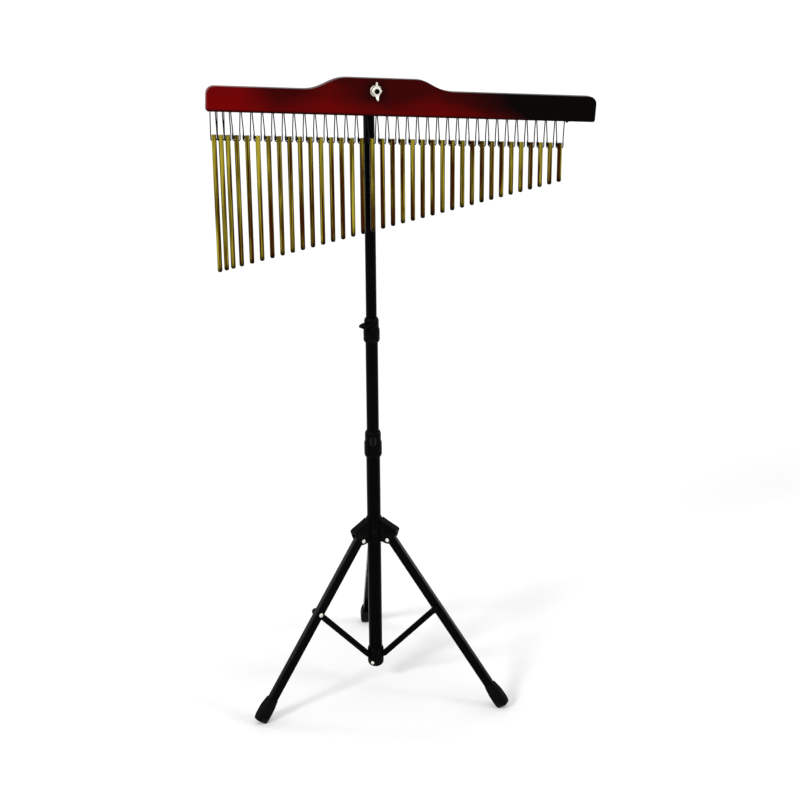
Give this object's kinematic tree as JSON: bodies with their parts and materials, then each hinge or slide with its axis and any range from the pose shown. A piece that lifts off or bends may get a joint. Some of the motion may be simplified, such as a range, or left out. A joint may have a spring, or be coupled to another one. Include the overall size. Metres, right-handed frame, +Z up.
{
  "type": "bar chimes on a stand",
  "caption": "Bar chimes: tuned metal rods laced under a lacquered wooden bar, carried by a black telescopic mast on a folding tripod.",
  "frame": {"origin": "middle of the set's footprint box, on the floor plane", "axes": "+X along the wooden bar towards the shortest chime, +Y away from the player, +Z up"},
  "size_m": [0.6574, 0.4184, 1.1323],
  "materials": {
    "lacquered_wood": "glossy dark red lacquer, fading to almost black towards the right end",
    "chime_metal": "bright anodised aluminium with an olive gold tint",
    "cord_fibre": "matt braided cord",
    "bright_steel": "bright plated steel",
    "black_tube": "gloss black paint",
    "black_plastic": "satin black moulding",
    "foot_rubber": "matt black rubber"
  },
  "bodies": {
    "base": {"lower_tube": "black_tube", "lower_clutch": "black_plastic", "brace_hub": "black_plastic"},
    "hub": {"leg_hub": "black_plastic"},
    "leg_body_1": {"leg_1": "black_tube", "foot_1": "foot_rubber"},
    "leg_body_2": {"leg_2": "black_tube", "foot_2": "foot_rubber"},
    "leg_body_3": {"leg_3": "black_tube", "foot_3": "foot_rubber"},
    "brace_body_1": {"brace_1": "black_tube"},
    "brace_body_2": {"brace_2": "black_tube"},
    "brace_body_3": {"brace_3": "black_tube"},
    "hub_lock": {"hub_lock_knob": "black_plastic"},
    "lower_lock": {"lower_clutch_knob": "black_plastic"},
    "middle": {"middle_tube": "black_tube", "upper_clutch": "black_plastic"},
    "upper_lock": {"upper_clutch_knob": "black_plastic"},
    "top": {"top_tube": "black_tube", "head_bracket": "black_plastic"},
    "header": {"header_bar": "lacquered_wood", "cord_rod": "bright_steel", "lacing_cord": "cord_fibre"},
    "wing_nut_body": {"wing_nut": "bright_steel"},
    "bar_01": {"chime_01": "chime_metal"},
    "bar_02": {"chime_02": "chime_metal"},
    "bar_03": {"chime_03": "chime_metal"},
    "bar_04": {"chime_04": "chime_metal"},
    "bar_05": {"chime_05": "chime_metal"},
    "bar_06": {"chime_06": "chime_metal"},
    "bar_07": {"chime_07": "chime_metal"},
    "bar_08": {"chime_08": "chime_metal"},
    "bar_09": {"chime_09": "chime_metal"},
    "bar_10": {"chime_10": "chime_metal"},
    "bar_11": {"chime_11": "chime_metal"},
    "bar_12": {"chime_12": "chime_metal"},
    "bar_13": {"chime_13": "chime_metal"},
    "bar_14": {"chime_14": "chime_metal"},
    "bar_15": {"chime_15": "chime_metal"},
    "bar_16": {"chime_16": "chime_metal"},
    "bar_17": {"chime_17": "chime_metal"},
    "bar_18": {"chime_18": "chime_metal"},
    "bar_19": {"chime_19": "chime_metal"},
    "bar_20": {"chime_20": "chime_metal"},
    "bar_21": {"chime_21": "chime_metal"},
    "bar_22": {"chime_22": "chime_metal"},
    "bar_23": {"chime_23": "chime_metal"},
    "bar_24": {"chime_24": "chime_metal"},
    "bar_25": {"chime_25": "chime_metal"},
    "bar_26": {"chime_26": "chime_metal"},
    "bar_27": {"chime_27": "chime_metal"},
    "bar_28": {"chime_28": "chime_metal"},
    "bar_29": {"chime_29": "chime_metal"},
    "bar_30": {"chime_30": "chime_metal"},
    "bar_31": {"chime_31": "chime_metal"},
    "bar_32": {"chime_32": "chime_metal"},
    "bar_33": {"chime_33": "chime_metal"},
    "bar_34": {"chime_34": "chime_metal"},
    "bar_35": {"chime_35": "chime_metal"},
    "bar_36": {"chime_36": "chime_metal"}
  },
  "joints": [
    {"name": "hub_slide", "type": "slide", "parent": "base", "child": "hub", "axis": [0, 0, 1], "range_m": [0, 0.073]},
    {"name": "leg_1_fold", "type": "hinge", "parent": "hub", "child": "leg_body_1", "pos_m": [-0.08066, -0.06214, 0.30051], "axis": [0.3795, -0.9252, 0], "range_deg": [0, 28.4]},
    {"name": "leg_2_fold", "type": "hinge", "parent": "hub", "child": "leg_body_2", "pos_m": [-0.02941, -0.06816, 0.30051], "axis": [0.5835, 0.8121, 0], "range_deg": [0, 28.4]},
    {"name": "leg_3_fold", "type": "hinge", "parent": "hub", "child": "leg_body_3", "pos_m": [-0.04952, -0.0217, 0.30051], "axis": [-0.9914, 0.1305, 0], "range_deg": [0, 28.4]},
    {"name": "brace_1_fold", "type": "hinge", "parent": "base", "child": "brace_body_1", "pos_m": [-0.07058, -0.05801, 0.065], "axis": [-0.3795, 0.9252, 0], "range_deg": [0, 30.16]},
    {"name": "brace_2_fold", "type": "hinge", "parent": "base", "child": "brace_body_2", "pos_m": [-0.03826, -0.0618, 0.065], "axis": [-0.5835, -0.8121, 0], "range_deg": [0, 30.16]},
    {"name": "brace_3_fold", "type": "hinge", "parent": "base", "child": "brace_body_3", "pos_m": [-0.05094, -0.03251, 0.065], "axis": [0.9914, -0.1305, 0], "range_deg": [0, 30.16]},
    {"name": "hub_lock_turn", "type": "hinge", "parent": "hub", "child": "hub_lock", "pos_m": [-0.05337, -0.05095, 0.31451], "axis": [0.8988, 0.4384, 0], "continuous": true},
    {"name": "lower_lock_turn", "type": "hinge", "parent": "base", "child": "lower_lock", "pos_m": [-0.05337, -0.05095, 0.4935], "axis": [-0.2079, -0.9781, 0], "continuous": true},
    {"name": "middle_slide", "type": "slide", "parent": "base", "child": "middle", "axis": [0, 0, 1], "range_m": [-0.16, 0.15]},
    {"name": "upper_lock_turn", "type": "hinge", "parent": "middle", "child": "upper_lock", "pos_m": [-0.05337, -0.05095, 0.703], "axis": [-0.829, -0.5592, 0], "continuous": true},
    {"name": "top_slide", "type": "slide", "parent": "middle", "child": "top", "axis": [0, 0, 1], "range_m": [-0.3, 0.04]},
    {"name": "header_tilt", "type": "hinge", "parent": "top", "child": "header", "pos_m": [-0.05337, -0.09595, 1.11], "axis": [0, 1, 0], "range_deg": [-15, 15]},
    {"name": "wing_nut_turn", "type": "hinge", "parent": "top", "child": "wing_nut_body", "pos_m": [-0.05337, -0.10915, 1.11], "axis": [0, -1, 0], "continuous": true},
    {"name": "swing_01", "type": "hinge", "parent": "header", "child": "bar_01", "pos_m": [-0.31738, -0.09595, 1.08553], "axis": [1, 0, 0], "range_deg": [-30, 30], "deforming": ["lacing_cord"]},
    {"name": "swing_02", "type": "hinge", "parent": "header", "child": "bar_02", "pos_m": [-0.3063, -0.09595, 1.08483], "axis": [1, 0, 0], "range_deg": [-30, 30], "deforming": ["lacing_cord"]},
    {"name": "swing_03", "type": "hinge", "parent": "header", "child": "bar_03", "pos_m": [-0.29522, -0.09595, 1.08413], "axis": [1, 0, 0], "range_deg": [-30, 30], "deforming": ["lacing_cord"]},
    {"name": "swing_04", "type": "hinge", "parent": "header", "child": "bar_04", "pos_m": [-0.2811, -0.09595, 1.08325], "axis": [1, 0, 0], "range_deg": [-30, 30], "deforming": ["lacing_cord"]},
    {"name": "swing_05", "type": "hinge", "parent": "header", "child": "bar_05", "pos_m": [-0.26393, -0.09595, 1.08217], "axis": [1, 0, 0], "range_deg": [-30, 30], "deforming": ["lacing_cord"]},
    {"name": "swing_06", "type": "hinge", "parent": "header", "child": "bar_06", "pos_m": [-0.24677, -0.09595, 1.08109], "axis": [1, 0, 0], "range_deg": [-30, 30], "deforming": ["lacing_cord"]},
    {"name": "swing_07", "type": "hinge", "parent": "header", "child": "bar_07", "pos_m": [-0.2296, -0.09595, 1.08001], "axis": [1, 0, 0], "range_deg": [-30, 30], "deforming": ["lacing_cord"]},
    {"name": "swing_08", "type": "hinge", "parent": "header", "child": "bar_08", "pos_m": [-0.21243, -0.09595, 1.07893], "axis": [1, 0, 0], "range_deg": [-30, 30], "deforming": ["lacing_cord"]},
    {"name": "swing_09", "type": "hinge", "parent": "header", "child": "bar_09", "pos_m": [-0.19527, -0.09595, 1.07785], "axis": [1, 0, 0], "range_deg": [-30, 30], "deforming": ["lacing_cord"]},
    {"name": "swing_10", "type": "hinge", "parent": "header", "child": "bar_10", "pos_m": [-0.1781, -0.09595, 1.07677], "axis": [1, 0, 0], "range_deg": [-30, 30], "deforming": ["lacing_cord"]},
    {"name": "swing_11", "type": "hinge", "parent": "header", "child": "bar_11", "pos_m": [-0.16094, -0.09595, 1.07569], "axis": [1, 0, 0], "range_deg": [-30, 30], "deforming": ["lacing_cord"]},
    {"name": "swing_12", "type": "hinge", "parent": "header", "child": "bar_12", "pos_m": [-0.14377, -0.09595, 1.07461], "axis": [1, 0, 0], "range_deg": [-30, 30], "deforming": ["lacing_cord"]},
    {"name": "swing_13", "type": "hinge", "parent": "header", "child": "bar_13", "pos_m": [-0.1266, -0.09595, 1.07353], "axis": [1, 0, 0], "range_deg": [-30, 30], "deforming": ["lacing_cord"]},
    {"name": "swing_14", "type": "hinge", "parent": "header", "child": "bar_14", "pos_m": [-0.10944, -0.09595, 1.07245], "axis": [1, 0, 0], "range_deg": [-30, 30], "deforming": ["lacing_cord"]},
    {"name": "swing_15", "type": "hinge", "parent": "header", "child": "bar_15", "pos_m": [-0.09227, -0.09595, 1.07137], "axis": [1, 0, 0], "range_deg": [-30, 30], "deforming": ["lacing_cord"]},
    {"name": "swing_16", "type": "hinge", "parent": "header", "child": "bar_16", "pos_m": [-0.07511, -0.09595, 1.07029], "axis": [1, 0, 0], "range_deg": [-30, 30], "deforming": ["lacing_cord"]},
    {"name": "swing_17", "type": "hinge", "parent": "header", "child": "bar_17", "pos_m": [-0.05794, -0.09595, 1.06921], "axis": [1, 0, 0], "range_deg": [-30, 5.5], "deforming": ["lacing_cord"]},
    {"name": "swing_18", "type": "hinge", "parent": "header", "child": "bar_18", "pos_m": [-0.04077, -0.09595, 1.06813], "axis": [-1, 0, 0], "range_deg": [-5.5, 30], "deforming": ["lacing_cord"]},
    {"name": "swing_19", "type": "hinge", "parent": "header", "child": "bar_19", "pos_m": [-0.02361, -0.09595, 1.06705], "axis": [-1, 0, 0], "range_deg": [-30, 30], "deforming": ["lacing_cord"]},
    {"name": "swing_20", "type": "hinge", "parent": "header", "child": "bar_20", "pos_m": [-0.00644, -0.09595, 1.06597], "axis": [-1, 0, 0], "range_deg": [-30, 30], "deforming": ["lacing_cord"]},
    {"name": "swing_21", "type": "hinge", "parent": "header", "child": "bar_21", "pos_m": [0.01072, -0.09595, 1.06489], "axis": [-1, 0, 0], "range_deg": [-30, 30], "deforming": ["lacing_cord"]},
    {"name": "swing_22", "type": "hinge", "parent": "header", "child": "bar_22", "pos_m": [0.02789, -0.09595, 1.06381], "axis": [-1, 0, 0], "range_deg": [-30, 30], "deforming": ["lacing_cord"]},
    {"name": "swing_23", "type": "hinge", "parent": "header", "child": "bar_23", "pos_m": [0.04506, -0.09595, 1.06273], "axis": [-1, 0, 0], "range_deg": [-30, 30], "deforming": ["lacing_cord"]},
    {"name": "swing_24", "type": "hinge", "parent": "header", "child": "bar_24", "pos_m": [0.06222, -0.09595, 1.06165], "axis": [-1, 0, 0], "range_deg": [-30, 30], "deforming": ["lacing_cord"]},
    {"name": "swing_25", "type": "hinge", "parent": "header", "child": "bar_25", "pos_m": [0.07939, -0.09595, 1.06057], "axis": [-1, 0, 0], "range_deg": [-30, 30], "deforming": ["lacing_cord"]},
    {"name": "swing_26", "type": "hinge", "parent": "header", "child": "bar_26", "pos_m": [0.09656, -0.09595, 1.05949], "axis": [-1, 0, 0], "range_deg": [-30, 30], "deforming": ["lacing_cord"]},
    {"name": "swing_27", "type": "hinge", "parent": "header", "child": "bar_27", "pos_m": [0.11372, -0.09595, 1.05841], "axis": [-1, 0, 0], "range_deg": [-30, 30], "deforming": ["lacing_cord"]},
    {"name": "swing_28", "type": "hinge", "parent": "header", "child": "bar_28", "pos_m": [0.13089, -0.09595, 1.05733], "axis": [-1, 0, 0], "range_deg": [-30, 30], "deforming": ["lacing_cord"]},
    {"name": "swing_29", "type": "hinge", "parent": "header", "child": "bar_29", "pos_m": [0.14805, -0.09595, 1.05625], "axis": [-1, 0, 0], "range_deg": [-30, 30], "deforming": ["lacing_cord"]},
    {"name": "swing_30", "type": "hinge", "parent": "header", "child": "bar_30", "pos_m": [0.16522, -0.09595, 1.05517], "axis": [-1, 0, 0], "range_deg": [-30, 30], "deforming": ["lacing_cord"]},
    {"name": "swing_31", "type": "hinge", "parent": "header", "child": "bar_31", "pos_m": [0.18239, -0.09595, 1.05409], "axis": [-1, 0, 0], "range_deg": [-30, 30], "deforming": ["lacing_cord"]},
    {"name": "swing_32", "type": "hinge", "parent": "header", "child": "bar_32", "pos_m": [0.19955, -0.09595, 1.05301], "axis": [-1, 0, 0], "range_deg": [-30, 30], "deforming": ["lacing_cord"]},
    {"name": "swing_33", "type": "hinge", "parent": "header", "child": "bar_33", "pos_m": [0.21672, -0.09595, 1.05193], "axis": [-1, 0, 0], "range_deg": [-30, 30], "deforming": ["lacing_cord"]},
    {"name": "swing_34", "type": "hinge", "parent": "header", "child": "bar_34", "pos_m": [0.23388, -0.09595, 1.05085], "axis": [-1, 0, 0], "range_deg": [-30, 30], "deforming": ["lacing_cord"]},
    {"name": "swing_35", "type": "hinge", "parent": "header", "child": "bar_35", "pos_m": [0.25105, -0.09595, 1.04977], "axis": [-1, 0, 0], "range_deg": [-30, 30], "deforming": ["lacing_cord"]},
    {"name": "swing_36", "type": "hinge", "parent": "header", "child": "bar_36", "pos_m": [0.26822, -0.09595, 1.04869], "axis": [-1, 0, 0], "range_deg": [-30, 30], "deforming": ["lacing_cord"]}
  ],
  "couplings": [
    {"joint": "leg_1_fold", "follows": "hub_slide", "rad_per_m": 6.79},
    {"joint": "leg_2_fold", "follows": "hub_slide", "rad_per_m": 6.79},
    {"joint": "leg_3_fold", "follows": "hub_slide", "rad_per_m": 6.79},
    {"joint": "brace_1_fold", "follows": "hub_slide", "rad_per_m": 7.21},
    {"joint": "brace_2_fold", "follows": "hub_slide", "rad_per_m": 7.21},
    {"joint": "brace_3_fold", "follows": "hub_slide", "rad_per_m": 7.21}
  ]
}
